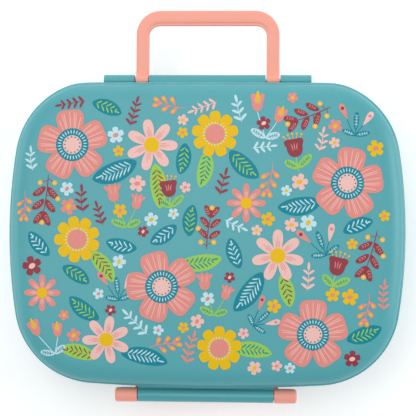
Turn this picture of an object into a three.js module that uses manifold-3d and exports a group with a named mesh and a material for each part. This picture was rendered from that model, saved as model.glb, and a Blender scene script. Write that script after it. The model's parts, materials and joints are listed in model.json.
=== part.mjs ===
// A child's moulded bento lunch box: a shallow base with a lift-out three-compartment food tray, a domed lid
// hinged along the rear on a steel pin, a U-shaped carrying handle that swings on the same pin, and a flip-up
// latch on the front. Everything but the pins and the seals is moulded polypropylene.
//
// Millimetres. +Z is up, +Y is the hinge and handle side, -Y the latch side. The origin is the middle of the
// base's flat underside, where the box rests.

import * as THREE from "three";
import { mergeVertices } from "three/addons/utils/BufferGeometryUtils.js";
import Module from "manifold-3d";

const wasm = await Module();
wasm.setup();

// ---------------------------------------------------------------- driving dimensions
// Plan outline, taken at the lid's outermost bead.
const halfWidth = 108.2; // X, middle to side
const halfDepth = 84.8; // Y, middle to front
const rearTrim = 2.8; // the rear edge is cut straight this far inside the outline, to carry the hinge
const rearFlat = halfDepth - rearTrim;
const sideBow = 292; // radius of the slightly bowed left and right edges
const frontBow = 1000; // radius of the slightly bowed front edge
const cornerRadius = 45;

// Heights.
const rimHeight = 42.6; // top of the base's rim
const lidHeight = 17.4; // base's rim to the crown of the lid
const domeRise = 4; // how far the crown stands above the shoulder
const overallHeight = rimHeight + lidHeight;

// Walls and clearances.
const lidWall = 2;
const baseWall = 2.2;
const trayWall = 1.8;
const gap = 0.3; // between pieces that touch or seat on each other
const closingGap = 0.4; // between the lid's skirt and the base's rim

// Hinge, shared by the lid, the base and the handle.
const hingeY = rearFlat + 1.5;
const hingeZ = rimHeight - 2.6;
const hingeKnuckleRadius = 3;
const hingeBarHalfLength = 57;
const pinRadius = 1;
const pinHoleRadius = pinRadius + gap;

// Handle.
const handleSpacing = 36; // X, middle to the middle of each leg
const legWidth = 7.1;
const legThickness = 4.6;
const legDrop = 0.9; // the leg's top face lies this far below the hinge axis
const gripDepth = 8.3;
const foldedClearance = 1.2; // below the folded handle, to the table
const handleReach = hingeZ - foldedClearance; // hinge axis to the outer edge of the grip
const handleOuterRadius = 13.5;
const slotClearance = 0.55; // beside each leg, to the knuckles

// Latch.
const latchAxisY = -(halfDepth + 4.8);
const latchAxisZ = hingeZ;
const latchKnuckleRadius = 3.9;
const lidLatchKnuckleHalfLength = 37.2;
const latchHalfLength = 49.9;
const latchDrop = 23; // latch axis to the flap's lower edge
const latchThickness = 2.6;
const latchBow = 3.6; // how far the flap curves in towards the base
const latchLip = 2; // how far its lower edge turns out again, to be lifted by
const latchCorner = 8;
const latchPinLength = 13;
const catchDrop = 10; // latch axis to the top of the base's catch shelf
const catchThickness = 2.4;
const catchHalfLength = 36;
const hookOverhang = 4; // how far the hook runs past each end of the shelf

// Lid details.
const beadHeight = 2.6;
const beadUnderside = rimHeight + 1;
const skirtInset = 2.4; // bead to the skirt's outer face
const skirtThickness = 2;
const skirtDepth = 4;
const shoulderWidth = 13;

// Base details.
const rimInset = skirtInset + skirtThickness + closingGap;
const rimThickness = 2;
const wallInsetTop = 6.5;
const wallInsetBottom = 10;
const bottomRadius = 8;
const trayLedge = rimHeight - 5.6; // the tray's flange rests here

// Food tray.
const trayPlateThickness = 2;
const trayFloor = 5; // inside of a compartment's floor
const trayDraft = 1.8; // how much a compartment narrows on each side
const dividerWidth = 8;
const dividerX = 20;
const dividerY = -1;
const trayOuterCorner = cornerRadius - 9;
const trayInnerCorner = 10;
const trayFloorRadius = 6;
const traySideRoom = 0.7; // compartments' edges to the base's wall at the floor, where the sides bow in most
const trayEndRoom = 1.4; // the same at the front and the rear

// Liner and seals in the lid.
const linerThickness = 1.6;
const linerRib = 2;
const linerRibThickness = 0.8;
const sealInset = 8.4;
const sealWidth = 2.5;
const dividerSealWidth = 3;

const coral = new THREE.Color(0.93, 0.42, 0.32);
const teal = new THREE.Color(0.1, 0.42, 0.46);
const cream = new THREE.Color(0.85, 0.82, 0.76);
const silicone = new THREE.Color(0.8, 0.84, 0.84);

const tealPlastic = new THREE.MeshStandardMaterial({ color: teal, roughness: 0.42, metalness: 0 });
const coralPlastic = new THREE.MeshStandardMaterial({ color: coral, roughness: 0.5, metalness: 0 });
const linerPlastic = new THREE.MeshStandardMaterial({ color: cream, roughness: 0.5, metalness: 0 });
const sealRubber = new THREE.MeshStandardMaterial({ color: silicone, roughness: 0.7, metalness: 0 });
const steel = new THREE.MeshStandardMaterial({ color: 0xb8babd, roughness: 0.3, metalness: 1 });

// ---------------------------------------------------------------- solids
function solidOf(geometry) {
  const bare = (geometry.index ? geometry.toNonIndexed() : geometry.clone()).deleteAttribute("normal");
  const merged = mergeVertices(bare.deleteAttribute("uv"), 1e-4);
  return new wasm.Manifold(
    new wasm.Mesh({
      numProp: 3,
      vertProperties: merged.attributes.position.array,
      triVerts: new Uint32Array(merged.index.array),
    }),
  );
}

function meshOf(name, solid, material) {
  const { vertProperties, triVerts } = solid.getMesh();
  const geometry = new THREE.BufferGeometry();
  geometry.setAttribute("position", new THREE.BufferAttribute(new Float32Array(vertProperties), 3));
  geometry.setIndex(new THREE.BufferAttribute(new Uint32Array(triVerts), 1));
  const mesh = new THREE.Mesh(geometry, material);
  mesh.name = name;
  return mesh;
}

// A block between two corners.
function block([x0, y0, z0], [x1, y1, z1]) {
  const geometry = new THREE.BoxGeometry(x1 - x0, y1 - y0, z1 - z0);
  return solidOf(geometry.translate((x0 + x1) / 2, (y0 + y1) / 2, (z0 + z1) / 2));
}

// A round bar along X.
function barX(radius, x0, x1, y, z, sides = 24) {
  const geometry = new THREE.CylinderGeometry(radius, radius, x1 - x0, sides);
  return solidOf(geometry.rotateZ(-Math.PI / 2).translate((x0 + x1) / 2, y, z));
}

// A flat outline in Y and Z, drawn as [y, z] points, made X-long.
function sectionX(points, x0, x1) {
  const shape = new THREE.Shape(points.map(([y, z]) => new THREE.Vector2(y, z)));
  const geometry = new THREE.ExtrudeGeometry(shape, { depth: x1 - x0, bevelEnabled: false });
  // The shape's X, Y and depth become the part's Y, Z and X.
  const axes = new THREE.Matrix4().makeBasis(
    new THREE.Vector3(0, 1, 0),
    new THREE.Vector3(0, 0, 1),
    new THREE.Vector3(1, 0, 0),
  );
  return solidOf(geometry.applyMatrix4(axes).translate(x0, 0, 0));
}

const both = (make) => make(1).add(make(-1));

// ---------------------------------------------------------------- plan outlines
// A station is one place round an outline. Given an inset it returns [x, y], so all insets are parallel.
function arcStations(centre, radius, from, to, count) {
  return Array.from({ length: count }, (_, i) => {
    const angle = from + ((to - from) * i) / count;
    return (inset) => [
      centre[0] + (radius - inset) * Math.cos(angle),
      centre[1] + (radius - inset) * Math.sin(angle),
    ];
  });
}

// The bowed sides are arcs centred on the axes, and each corner arc touches both of its neighbours.
function bodyStations(sideCount, cornerCount) {
  const side = [halfWidth - sideBow, 0];
  const front = [0, halfDepth - frontBow];
  const toSide = sideBow - cornerRadius;
  const toFront = frontBow - cornerRadius;
  const apart = Math.hypot(side[0] - front[0], side[1] - front[1]);
  const along = (toSide ** 2 - toFront ** 2 + apart ** 2) / (2 * apart);
  const across = Math.sqrt(toSide ** 2 - along ** 2);
  const u = [(front[0] - side[0]) / apart, (front[1] - side[1]) / apart];
  const corner = [side[0] + along * u[0] - across * u[1], side[1] + along * u[1] + across * u[0]];
  const sideEnd = Math.atan2(corner[1] - side[1], corner[0] - side[0]);
  const frontStart = Math.atan2(corner[1] - front[1], corner[0] - front[0]);
  const quadrant = [
    ...arcStations(side, sideBow, 0, sideEnd, sideCount),
    ...arcStations(corner, cornerRadius, sideEnd, frontStart, cornerCount),
    ...arcStations(front, frontBow, frontStart, Math.PI / 2, sideCount),
  ];
  const top = [(inset) => [0, halfDepth - inset]];
  const mirrored = (list, sx, sy) =>
    list.map((station) => (inset) => {
      const [x, y] = station(inset);
      return [sx * x, sy * y];
    });
  const half = [...quadrant, ...top, ...mirrored(quadrant.slice(1).reverse(), -1, 1)];
  const whole = [...half, (inset) => [inset - halfWidth, 0], ...mirrored(half.slice(1).reverse(), 1, -1)];
  return whole.map((station) => (inset) => {
    const [x, y] = station(inset);
    return [x, Math.min(y, rearFlat - inset)];
  });
}

// A rectangle about the origin, given by its half sizes, with its own radius at each corner: anticlockwise
// from the right-hand rear one.
function panelStations([halfX, halfY], radii, cornerCount) {
  const signs = [
    [1, 1],
    [-1, 1],
    [-1, -1],
    [1, -1],
  ];
  return signs.flatMap(([signX, signY], i) => {
    const centre = [signX * (halfX - radii[i]), signY * (halfY - radii[i])];
    const from = (i * Math.PI) / 2;
    const step = Math.PI / 2 / cornerCount;
    return arcStations(centre, radii[i], from, from + Math.PI / 2 + step, cornerCount + 1);
  });
}

// Sweeps a profile round an outline. Each profile point is [inset, z], or [inset, z, share] where the ring
// shrinks towards the middle. A profile runs outwards over the top face, down the outside and back along the
// underside. It starts and ends at share 0, or closes on itself.
function loft(profile, stations) {
  const rings = [...profile].reverse();
  const geometry = new THREE.LatheGeometry(
    rings.map(([inset, z]) => new THREE.Vector2(1 + inset, z)),
    stations.length,
  );
  const position = geometry.getAttribute("position");
  for (let turn = 0; turn <= stations.length; turn++) {
    rings.forEach(([inset, z, share = 1], i) => {
      const [x, y] = stations[turn % stations.length](inset);
      position.setXYZ(turn * rings.length + i, x * share, y * share, z);
    });
  }
  return solidOf(geometry);
}

// Points of a quarter ellipse from its top or bottom (fraction 0) to its side (fraction 1).
function quarter(inset, z, width, height, count) {
  return Array.from({ length: count + 1 }, (_, i) => {
    const angle = (i / count) * (Math.PI / 2);
    return [inset - width * Math.sin(angle), z + height * Math.cos(angle)];
  });
}

const closed = (profile) => [...profile, profile[0]];
const outline = bodyStations(3, 6);

// ---------------------------------------------------------------- base
// Wall inset at a height: the wall narrows evenly towards the floor.
const wallInset = (z) =>
  wallInsetTop + ((wallInsetBottom - wallInsetTop) * (rimHeight - 8 - z)) / (rimHeight - 8 - bottomRadius);

function hingeKnuckle(x0, x1) {
  return barX(hingeKnuckleRadius, x0, x1, hingeY, hingeZ);
}

const slotInner = handleSpacing - legWidth / 2 - slotClearance;
const slotOuter = handleSpacing + legWidth / 2 + slotClearance;
const catchTop = latchAxisZ - catchDrop;
const catchReach = -latchAxisY - latchKnuckleRadius - 1.2; // to the shelf's front edge
const hookReach = catchReach + closingGap;

function baseShell() {
  const shoulder = rimHeight - 8;
  const innerRadius = bottomRadius - baseWall;
  const inside = [
    [bottomRadius + wallInsetBottom, baseWall, 0],
    [bottomRadius + wallInsetBottom, baseWall],
    ...quarter(wallInsetBottom + bottomRadius, bottomRadius, innerRadius, -innerRadius, 4).slice(1),
    [wallInsetTop + baseWall, shoulder],
    [wallInsetTop + baseWall, trayLedge],
    [rimInset + rimThickness, trayLedge],
    [rimInset + rimThickness, rimHeight],
  ];
  const profile = [
    ...inside,
    [rimInset, rimHeight],
    [rimInset, shoulder + 2],
    [wallInsetTop, shoulder],
    ...quarter(wallInsetBottom + bottomRadius, bottomRadius, bottomRadius, -bottomRadius, 4).reverse(),
    [bottomRadius + wallInsetBottom, 0, 0],
  ];
  let shell = loft(profile, outline);

  // Hinge knuckles outside the handle's legs, each on an arm that passes under the lid's skirt.
  const armTop = beadUnderside - skirtDepth - closingGap;
  const wallY = rearFlat - wallInsetTop - baseWall / 2;
  shell = shell.add(
    both((side) => {
      const [x0, x1] = [side * slotOuter, side * hingeBarHalfLength].sort((a, b) => a - b);
      const arm = sectionX(
        [
          [wallY, armTop - 8],
          [hingeY - 1, hingeZ - hingeKnuckleRadius],
          [hingeY, armTop],
          [wallY, armTop],
        ],
        x0,
        x1,
      );
      return hingeKnuckle(x0, x1).add(arm);
    }),
  );
  shell = shell.subtract(
    barX(pinHoleRadius, -hingeBarHalfLength - 1, hingeBarHalfLength + 1, hingeY, hingeZ, 12),
  );

  // The catch shelf under the latch, with gussets below it.
  const shelfRoot = -(halfDepth - wallInset(catchTop) - baseWall / 2) + 2;
  const gussetThickness = 2;
  shell = shell.add(
    block([-catchHalfLength, -catchReach, catchTop - catchThickness], [catchHalfLength, shelfRoot, catchTop]),
  );
  for (const x of [-1, -0.34, 0.34, 1]) {
    const middle = x * (catchHalfLength - gussetThickness / 2);
    const gusset = sectionX(
      [
        [-catchReach + 1.4, catchTop - catchThickness + 0.1],
        [shelfRoot, catchTop - 16],
        [shelfRoot, catchTop - catchThickness + 0.1],
      ],
      middle - gussetThickness / 2,
      middle + gussetThickness / 2,
    );
    shell = shell.add(gusset);
  }
  // Nothing added outside shows through the wall.
  const cavity = loft([...inside, [rimInset + rimThickness, rimHeight, 0]].reverse(), outline);
  return shell.subtract(cavity);
}

// ---------------------------------------------------------------- food tray
const trayTop = trayLedge + gap + trayPlateThickness;
const bowDepth = (bow, halfSpan) => bow - Math.sqrt(bow ** 2 - halfSpan ** 2);
const trayWallInset = wallInsetBottom + baseWall;
const traySideMargin = trayWallInset + traySideRoom + bowDepth(sideBow, halfDepth - cornerRadius);
const trayEndMargin = trayWallInset + trayEndRoom + bowDepth(frontBow, halfWidth - cornerRadius);
const trayRight = halfWidth - traySideMargin;
const trayFront = -(halfDepth - trayEndMargin);
const trayRear = rearFlat - trayEndMargin;
const dividerLeft = dividerX - dividerWidth / 2;
const dividerRight = dividerX + dividerWidth / 2;
const dividerFront = dividerY - dividerWidth / 2;
const dividerRear = dividerY + dividerWidth / 2;

const compartments = [
  {
    low: [-trayRight, trayFront],
    high: [dividerLeft, trayRear],
    radii: [trayInnerCorner, trayOuterCorner, trayOuterCorner, trayInnerCorner],
  },
  {
    low: [dividerRight, dividerRear],
    high: [trayRight, trayRear],
    radii: [trayOuterCorner, trayInnerCorner, trayInnerCorner, trayInnerCorner],
  },
  {
    low: [dividerRight, trayFront],
    high: [trayRight, dividerFront],
    radii: [trayInnerCorner, trayInnerCorner, trayInnerCorner, trayOuterCorner],
  },
];

// One compartment's space, or with its wall added round it, the cup that holds it.
function cup({ low, high, radii }, grown, top) {
  const size = [(high[0] - low[0]) / 2, (high[1] - low[1]) / 2];
  const floor = trayFloor - grown;
  const rounding = trayFloorRadius;
  const floorInset = trayDraft - grown + rounding;
  const profile = [
    [-grown, top, 0],
    [-grown, top],
    ...quarter(floorInset, floor + rounding, rounding, -rounding, 3).reverse(),
    [floorInset, floor, 0],
  ];
  const solid = loft(profile, panelStations(size, radii, 4));
  return solid.translate([(low[0] + high[0]) / 2, (low[1] + high[1]) / 2, 0]);
}

function foodTray() {
  const flangeInset = rimInset + rimThickness + closingGap;
  const bottom = trayTop - trayPlateThickness;
  let tray = loft(
    [
      [flangeInset, trayTop, 0],
      [flangeInset, trayTop],
      [flangeInset, bottom],
      [flangeInset, bottom, 0],
    ],
    outline,
  );
  for (const compartment of compartments) {
    tray = tray.add(cup(compartment, trayWall, trayTop - 0.5));
  }
  for (const compartment of compartments) {
    tray = tray.subtract(cup(compartment, 0, trayTop + 1));
  }
  return tray;
}

// ---------------------------------------------------------------- lid
const beadTop = beadUnderside + beadHeight;
const shoulderTop = overallHeight - domeRise;
const domeShares = [0, 0.3, 0.55, 0.8, 1];
const domeOf = (crown) => domeShares.map((share) => [shoulderWidth, crown - domeRise * share ** 2, share]);

function lidShell() {
  const shoulderBase = beadTop + 0.4;
  const shoulderInset = 1.2;
  const skirtInner = skirtInset + skirtThickness;
  const skirtBottom = beadUnderside - skirtDepth;
  const profile = [
    ...domeOf(overallHeight - lidWall),
    ...quarter(
      shoulderWidth,
      shoulderBase,
      shoulderWidth - skirtInner,
      shoulderTop - lidWall - shoulderBase,
      4,
    ).slice(1),
    [skirtInner, skirtBottom],
    [skirtInset, skirtBottom],
    [skirtInset, beadUnderside],
    [0.6, beadUnderside],
    [0, beadUnderside + 0.6],
    [0, beadTop - 0.6],
    [0.5, beadTop],
    ...quarter(
      shoulderWidth,
      shoulderBase,
      shoulderWidth - shoulderInset,
      shoulderTop - shoulderBase,
      5,
    ).reverse(),
    ...domeOf(overallHeight).slice(0, -1).reverse(),
  ].reverse();
  let shell = loft(profile, outline);

  // The hinge knuckle between the handle's legs, and the web that carries it under the bead.
  const rearSkirt = rearFlat - skirtInset - 0.6;
  shell = shell
    .add(hingeKnuckle(-slotInner, slotInner))
    .add(block([-slotInner, rearSkirt, hingeZ], [slotInner, hingeY, beadUnderside + 0.2]))
    .subtract(barX(pinHoleRadius, -slotInner - 1, slotInner + 1, hingeY, hingeZ, 12));

  // The latch knuckle on the front, with its web, and a socket in each end for a latch pin.
  const frontSkirt = -(halfDepth - skirtInset - 1.2);
  const half = lidLatchKnuckleHalfLength;
  const socket = latchPinLength / 2 + 1;
  shell = shell
    .add(barX(latchKnuckleRadius, -half, half, latchAxisY, latchAxisZ))
    .add(
      block([-half, latchAxisY, latchAxisZ - 0.2], [half, frontSkirt, beadUnderside + 0.2]),
    );
  return shell.subtract(
    both((side) => {
      const [x0, x1] = [side * (half - socket), side * (half + 1)].sort((a, b) => a - b);
      return barX(pinHoleRadius, x0, x1, latchAxisY, latchAxisZ, 12);
    }),
  );
}

// ---------------------------------------------------------------- lid liner and seals
const linerBottom = beadUnderside - 0.2;
const sealTop = linerBottom - gap;
const sealBottom = trayTop + gap;

function rimBand(inset, width, low, high) {
  return loft(
    closed([
      [inset, low],
      [inset, high],
      [inset + width, high],
      [inset + width, low],
    ]).reverse(),
    outline,
  );
}

// A straight band over the long divider and another over the short one, in a T.
function dividerBands(width, low, high, endGap) {
  const inner = (inset) => -(halfDepth - inset);
  const endInset = sealInset + sealWidth + linerRibThickness + endGap + gap;
  const long = block(
    [dividerX - width / 2, inner(endInset) + 0.6, low],
    [dividerX + width / 2, rearFlat - endInset, high],
  );
  const short = block(
    [dividerX, dividerY - width / 2, low],
    [halfWidth - endInset - 0.6, dividerY + width / 2, high],
  );
  return long.add(short);
}

function lidLiner() {
  const edge = skirtInset + skirtThickness + 0.6;
  const top = linerBottom + linerThickness;
  let liner = loft(
    [
      [edge, top, 0],
      [edge, top],
      [edge, linerBottom],
      [edge, linerBottom, 0],
    ],
    outline,
  );
  const ribBottom = linerBottom - linerRib;
  const ribTop = linerBottom + 0.2;
  const outerRib = sealInset - gap - linerRibThickness;
  const innerRib = sealInset + sealWidth + gap;
  liner = liner
    .add(rimBand(outerRib, linerRibThickness, ribBottom, ribTop))
    .add(rimBand(innerRib, linerRibThickness, ribBottom, ribTop));
  const channel = dividerSealWidth + 2 * gap;
  const ribs = dividerBands(channel + 2 * linerRibThickness, ribBottom, ribTop, 0).subtract(
    dividerBands(channel, ribBottom - 1, ribTop + 1, -1),
  );
  return liner.add(ribs);
}

// ---------------------------------------------------------------- handle
// The leg hangs below the pin, so that the open lid clears it and it folds flat against the base.
function handle() {
  const outer = handleSpacing + legWidth / 2;
  const inner = handleSpacing - legWidth / 2;
  const legStart = hingeY + 1;
  const end = hingeY + handleReach;
  const innerRadius = handleOuterRadius - (legWidth + gripDepth) / 2;
  const shape = new THREE.Shape();
  shape.moveTo(outer, legStart);
  shape.lineTo(outer, end - handleOuterRadius);
  shape.absarc(outer - handleOuterRadius, end - handleOuterRadius, handleOuterRadius, 0, Math.PI / 2);
  shape.absarc(handleOuterRadius - outer, end - handleOuterRadius, handleOuterRadius, Math.PI / 2, Math.PI);
  shape.lineTo(-outer, legStart);
  shape.lineTo(-inner, legStart);
  const corner = end - gripDepth - innerRadius;
  shape.absarc(innerRadius - inner, corner, innerRadius, Math.PI, Math.PI / 2, true);
  shape.absarc(inner - innerRadius, corner, innerRadius, Math.PI / 2, 0, true);
  shape.lineTo(inner, legStart);
  const edge = 0.8;
  const geometry = new THREE.ExtrudeGeometry(shape, {
    depth: legThickness - 2 * edge,
    bevelThickness: edge,
    bevelSize: edge,
    bevelOffset: -edge,
    bevelSegments: 1,
    curveSegments: 5,
  });
  const loop = solidOf(geometry.translate(0, 0, hingeZ - legDrop - legThickness + edge));
  const eyes = both((side) => {
    const x = side * handleSpacing;
    return hingeKnuckle(x - legWidth / 2, x + legWidth / 2);
  });
  return loop
    .add(eyes)
    .subtract(barX(pinHoleRadius, -outer - 1, outer + 1, hingeY, hingeZ, 12));
}

// ---------------------------------------------------------------- latch
// A flap with a knuckle at each end, cut away in the middle for the lid's knuckle. It curves in towards the
// base, and its hook stops just outside the base's catch shelf.
const flapFace = latchAxisY - latchKnuckleRadius + 0.3;

// The Y of the flap's outer face at a share of the way down it.
function flapOuter(share) {
  const lip = Math.max(0, (share - 0.75) / 0.25) ** 2;
  return flapFace + latchBow * (1 - Math.cos((share * Math.PI) / 2)) - latchLip * lip;
}

function latch() {
  const knuckleStart = lidLatchKnuckleHalfLength + closingGap;
  const bottom = latchAxisZ - latchDrop;
  const shares = [0, 0.2, 0.4, 0.55, 0.7, 0.8, 0.9, 1];
  const height = (share) => latchAxisZ - latchDrop * share;
  const flap = sectionX(
    [
      ...shares.map((share) => [flapOuter(share), height(share)]),
      ...shares.map((share) => [flapOuter(share) + latchThickness, height(share)]).reverse(),
    ],
    -latchHalfLength,
    latchHalfLength,
  );

  const front = new THREE.Shape();
  front.moveTo(-latchHalfLength, latchAxisZ);
  front.lineTo(-latchHalfLength, bottom + latchCorner);
  front.absarc(latchCorner - latchHalfLength, bottom + latchCorner, latchCorner, Math.PI, 1.5 * Math.PI);
  front.absarc(latchHalfLength - latchCorner, bottom + latchCorner, latchCorner, 1.5 * Math.PI, 2 * Math.PI);
  front.lineTo(latchHalfLength, latchAxisZ);
  const room = latchKnuckleRadius + 0.6;
  front.lineTo(knuckleStart, latchAxisZ);
  front.lineTo(knuckleStart, latchAxisZ - room);
  front.lineTo(-knuckleStart, latchAxisZ - room);
  front.lineTo(-knuckleStart, latchAxisZ);
  const depth = 30;
  const geometry = new THREE.ExtrudeGeometry(front, { depth, bevelEnabled: false, curveSegments: 6 });
  const outlineCut = solidOf(geometry.rotateX(Math.PI / 2).translate(0, latchAxisY + depth / 2, 0));

  const hookHalf = catchHalfLength + hookOverhang;
  const hookTop = catchTop - catchThickness - gap;
  const hookRoot = flapOuter((latchAxisZ - hookTop) / latchDrop) + latchThickness / 2;
  const hook = sectionX(
    [
      [hookRoot, hookTop - 5],
      [-hookReach, hookTop - 1.4],
      [-hookReach, hookTop],
      [hookRoot, hookTop],
    ],
    -hookHalf,
    hookHalf,
  );
  const knuckles = both((side) => {
    const [x0, x1] = [side * knuckleStart, side * latchHalfLength].sort((a, b) => a - b);
    return barX(latchKnuckleRadius, x0, x1, latchAxisY, latchAxisZ);
  });
  const sockets = both((side) => {
    const end = lidLatchKnuckleHalfLength + latchPinLength / 2 + 1;
    const [x0, x1] = [side * (knuckleStart - 1), side * end].sort((a, b) => a - b);
    return barX(pinHoleRadius, x0, x1, latchAxisY, latchAxisZ, 12);
  });
  return flap.intersect(outlineCut).add(hook).add(knuckles).subtract(sockets);
}

function latchPin(side) {
  const middle = side * lidLatchKnuckleHalfLength;
  const half = latchPinLength / 2;
  return barX(pinRadius, middle - half, middle + half, latchAxisY, latchAxisZ, 12);
}

// ---------------------------------------------------------------- assembly
const lunchBox = new THREE.Group();
lunchBox.name = "lunch_box";

const body = new THREE.Group();
const pinHalfLength = hingeBarHalfLength - 1;
body.add(
  meshOf("base_shell", baseShell(), tealPlastic),
  meshOf("food_tray", foodTray(), coralPlastic),
  meshOf("hinge_pin", barX(pinRadius, -pinHalfLength, pinHalfLength, hingeY, hingeZ, 12), steel),
);

const lid = new THREE.Group();
lid.add(
  meshOf("lid_shell", lidShell(), tealPlastic),
  meshOf("lid_liner", lidLiner(), linerPlastic),
  meshOf("rim_seal", rimBand(sealInset, sealWidth, sealBottom, sealTop), sealRubber),
  meshOf("divider_seal", dividerBands(dividerSealWidth, sealBottom, sealTop, 0.5), sealRubber),
);

const handleGroup = new THREE.Group();
handleGroup.add(meshOf("handle", handle(), coralPlastic));

const latchGroup = new THREE.Group();
latchGroup.add(
  meshOf("latch", latch(), coralPlastic),
  meshOf("latch_pin_left", latchPin(-1), steel),
  meshOf("latch_pin_right", latchPin(1), steel),
);

lunchBox.add(body, lid, handleGroup, latchGroup);

export default lunchBox;
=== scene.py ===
"""A moulded bento-type lunch box: teal shells, a floral print on the lid, coral handle, latch and food tray.

Lengths in each section are millimetres until finish_piece() turns them into metres. +Y is the hinge side.
"""

import json
import math
import random

import bmesh
import bpy
from mathutils import Matrix, Vector
from mathutils.bvhtree import BVHTree


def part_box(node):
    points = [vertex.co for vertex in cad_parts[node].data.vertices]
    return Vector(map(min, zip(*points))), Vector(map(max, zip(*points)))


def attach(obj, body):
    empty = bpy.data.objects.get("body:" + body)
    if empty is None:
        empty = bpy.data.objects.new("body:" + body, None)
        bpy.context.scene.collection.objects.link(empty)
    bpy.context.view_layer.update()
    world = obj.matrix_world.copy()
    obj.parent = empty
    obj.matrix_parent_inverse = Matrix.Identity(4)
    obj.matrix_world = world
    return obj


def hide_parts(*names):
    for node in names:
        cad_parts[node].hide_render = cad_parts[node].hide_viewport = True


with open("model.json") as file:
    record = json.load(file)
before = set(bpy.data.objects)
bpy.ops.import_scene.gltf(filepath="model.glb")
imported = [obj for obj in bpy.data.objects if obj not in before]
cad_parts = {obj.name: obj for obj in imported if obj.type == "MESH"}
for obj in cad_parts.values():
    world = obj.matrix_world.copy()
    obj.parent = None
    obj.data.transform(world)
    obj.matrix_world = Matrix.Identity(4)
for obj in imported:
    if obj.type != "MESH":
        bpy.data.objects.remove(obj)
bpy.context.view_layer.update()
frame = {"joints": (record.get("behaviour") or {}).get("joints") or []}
MM = 0.001

# ---------------------------------------------------------------- camera
# The box is looked at from straight above, about 0.7 m over its lid, with a long lens. The camera stands a
# little to the right and towards the handle, and is turned back, so that box and handle fill the frame.
camera_data = bpy.data.cameras.new("overhead_camera")
camera_data.sensor_width = 36
camera_data.lens = 111.06
camera = bpy.data.objects.new("overhead_camera", camera_data)
camera.location = (0.03315, 0.01049, 0.745)
camera.rotation_euler = (0.00433, 0.04598, 0.00599)
bpy.context.collection.objects.link(camera)
bpy.context.scene.camera = camera

# ---------------------------------------------------------------- studio
# A white table in an even white room, lit by soft boxes: one overhead, a key behind the handle, one on the
# right, and low strips that draw soft lines along the other edges. Colours are shown with no film curve.
bpy.context.scene.view_settings.view_transform = "Standard"
room = bpy.data.worlds.new("white_room")
room.use_nodes = True
room_light = room.node_tree.nodes["Background"].inputs
room_light["Color"].default_value = (1, 1, 1, 1)
room_light["Strength"].default_value = 0.44
bpy.context.scene.world = room


def soft_box(name, place, width, height, radiance):
    """A rectangular light that faces the lid, in metres. Its power follows from its brightness and size."""
    data = bpy.data.lights.new(name, "AREA")
    data.shape = "RECTANGLE"
    data.size = width
    data.size_y = height
    data.energy = radiance * math.pi * width * height
    light = bpy.data.objects.new(name, data)
    light.location = place
    to_lid = Vector((0, 0, 0.03)) - Vector(place)
    light.rotation_euler = to_lid.to_track_quat("-Z", "Y").to_euler()
    bpy.context.collection.objects.link(light)


soft_box("overhead_box", (-0.3, 0.25, 1.9), 1.5, 1.5, 1.85)
soft_box("rear_key", (-0.1, 1.3, 0.95), 1.4, 0.6, 1.1)
soft_box("rear_strip", (0, 0.95, 0.2), 1.3, 0.05, 7)
soft_box("right_box", (1.15, 0.1, 0.5), 0.6, 0.5, 5.3)
soft_box("left_strip", (-1.05, 0.1, 0.3), 0.9, 0.16, 5.2)
soft_box("front_strip", (0, -0.95, 0.06), 1.3, 0.03, 3)

floor_bm = bmesh.new()
bmesh.ops.create_grid(floor_bm, x_segments=1, y_segments=1, size=3)
bmesh.ops.translate(floor_bm, verts=floor_bm.verts, vec=(0, 0, -0.0006))
floor_mesh = bpy.data.meshes.new("floor")
floor_bm.to_mesh(floor_mesh)
floor_bm.free()
floor = bpy.data.objects.new("floor", floor_mesh)
bpy.context.collection.objects.link(floor)
floor_paint = bpy.data.materials.new("floor_paint")
floor_paint.use_nodes = True
floor_look = floor_paint.node_tree.nodes["Principled BSDF"].inputs
floor_look["Base Color"].default_value = (0.97, 0.97, 0.97, 1)
floor_look["Roughness"].default_value = 0.9
floor_look["Specular IOR Level"].default_value = 0.1
floor_look["Emission Color"].default_value = (1, 1, 1, 1)
floor_look["Emission Strength"].default_value = 0.19
floor_mesh.materials.append(floor_paint)

# ---------------------------------------------------------------- base
# The base is one thin-walled teal polypropylene moulding: a shallow tub with a stepped rim for the lid and
# the tray, two hinge knuckles on arms at the back, and a ribbed shelf in front that the latch catches under.
joints = {joint["name"]: joint for joint in frame["joints"]}
HINGE = Vector(joints["lid_hinge"]["pos_m"]) / MM
LATCH = Vector(joints["latch_flip"]["pos_m"]) / MM
_, lid_high = (Vector(corner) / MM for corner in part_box("lid_shell"))
half_width = lid_high.x
hinge_standoff = 1.5
latch_standoff = 4.8
rear_flat = HINGE.y - hinge_standoff
half_depth = -LATCH.y - latch_standoff
side_bow = 292
front_bow = 1000
corner_radius = 45
rim_top = HINGE.z + 2.6
base_wall = 2.2
TEAL = (0.078, 0.372, 0.415, 1)


class Wire:
    """An output of a shader node. Arithmetic on wires and numbers adds Math nodes."""

    def __init__(self, socket):
        self.socket = socket

    def feed(self, target):
        self.socket.id_data.links.new(self.socket, target)

    def math(self, operation, first, second):
        node = self.socket.id_data.nodes.new("ShaderNodeMath")
        node.operation = operation
        for target, value in zip(node.inputs, (first, second)):
            if isinstance(value, Wire):
                value.feed(target)
            else:
                target.default_value = value
        return Wire(node.outputs[0])

    def __add__(self, other):
        return self.math("ADD", self, other)

    def __radd__(self, other):
        return self.math("ADD", other, self)

    def __sub__(self, other):
        return self.math("SUBTRACT", self, other)

    def __rsub__(self, other):
        return self.math("SUBTRACT", other, self)

    def __mul__(self, other):
        return self.math("MULTIPLY", self, other)

    def __rmul__(self, other):
        return self.math("MULTIPLY", other, self)


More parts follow.
